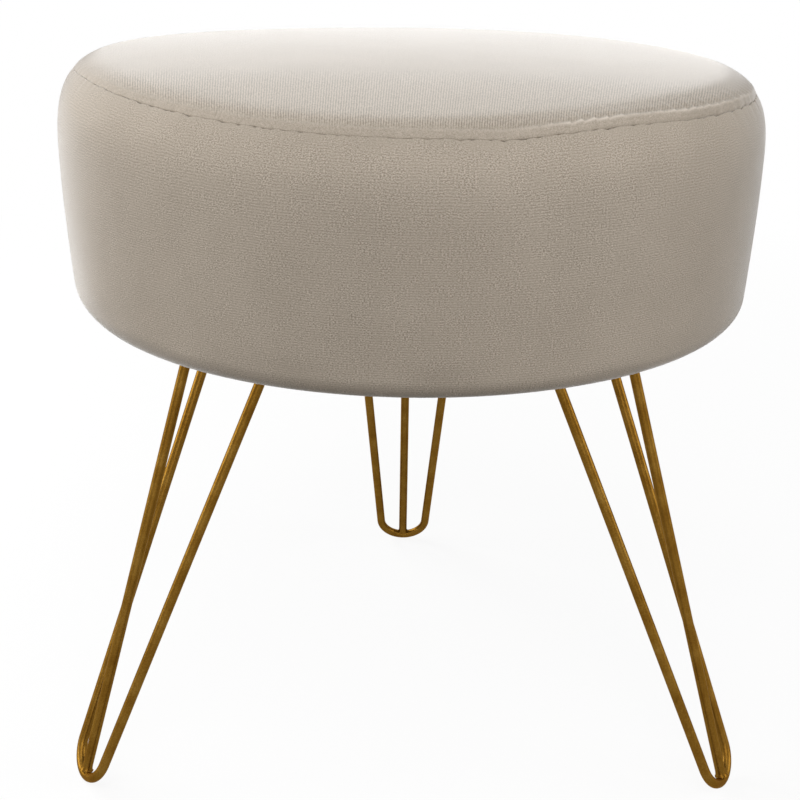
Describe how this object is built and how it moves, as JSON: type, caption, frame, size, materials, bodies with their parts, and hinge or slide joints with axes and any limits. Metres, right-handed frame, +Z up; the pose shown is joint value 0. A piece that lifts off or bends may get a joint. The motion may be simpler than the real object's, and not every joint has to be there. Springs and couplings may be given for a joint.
{
  "type": "pouf",
  "caption": "Round upholstered pouf with a crowned, seamed cover over foam and a boarded drum, standing on splayed hairpin legs of welded rod.",
  "frame": {"origin": "on the floor, at the middle of the part's bounding box; the seat's axis stands 11.5 mm in front of it (-Y), because the rear foot reaches past the seat", "axes": "+Z up; +Y to the rear, towards the rear leg; +X to the right as seen from the front"},
  "size_m": [0.4, 0.423, 0.416],
  "materials": {
    "cover_fabric": "taupe suede-like microfibre with a soft sheen",
    "foam": "open-cell foam",
    "plywood": "raw plywood",
    "pine": "sawn softwood",
    "fibreboard": "hard fibreboard strip",
    "dust_cloth": "black non-woven cloth",
    "gold_metal": "satin gold on steel rod and plate",
    "zinc_steel": "zinc-plated"
  },
  "bodies": {
    "root": {"base_board": "plywood", "seat_board": "plywood", "wall_hoop": "fibreboard", "post_1": "pine", "post_2": "pine", "post_3": "pine", "post_4": "pine", "post_5": "pine", "post_6": "pine", "base_screw_1": "zinc_steel", "base_screw_2": "zinc_steel", "base_screw_3": "zinc_steel", "base_screw_4": "zinc_steel", "base_screw_5": "zinc_steel", "base_screw_6": "zinc_steel", "seat_screw_1": "zinc_steel", "seat_screw_2": "zinc_steel", "seat_screw_3": "zinc_steel", "seat_screw_4": "zinc_steel", "seat_screw_5": "zinc_steel", "seat_screw_6": "zinc_steel", "side_foam": "foam", "top_foam": "foam", "cover_band": "cover_fabric", "cover_top": "cover_fabric", "dust_cover": "dust_cloth", "hairpin_rod_left": "gold_metal", "hairpin_rod_right": "gold_metal", "hairpin_rod_rear": "gold_metal", "brace_rod_left": "gold_metal", "brace_rod_right": "gold_metal", "brace_rod_rear": "gold_metal", "leg_plate_left": "gold_metal", "leg_plate_right": "gold_metal", "leg_plate_rear": "gold_metal", "leg_screw_left_1": "zinc_steel", "leg_screw_left_2": "zinc_steel", "leg_screw_left_3": "zinc_steel", "leg_screw_right_1": "zinc_steel", "leg_screw_right_2": "zinc_steel", "leg_screw_right_3": "zinc_steel", "leg_screw_rear_1": "zinc_steel", "leg_screw_rear_2": "zinc_steel", "leg_screw_rear_3": "zinc_steel"}
  },
  "joints": []
}
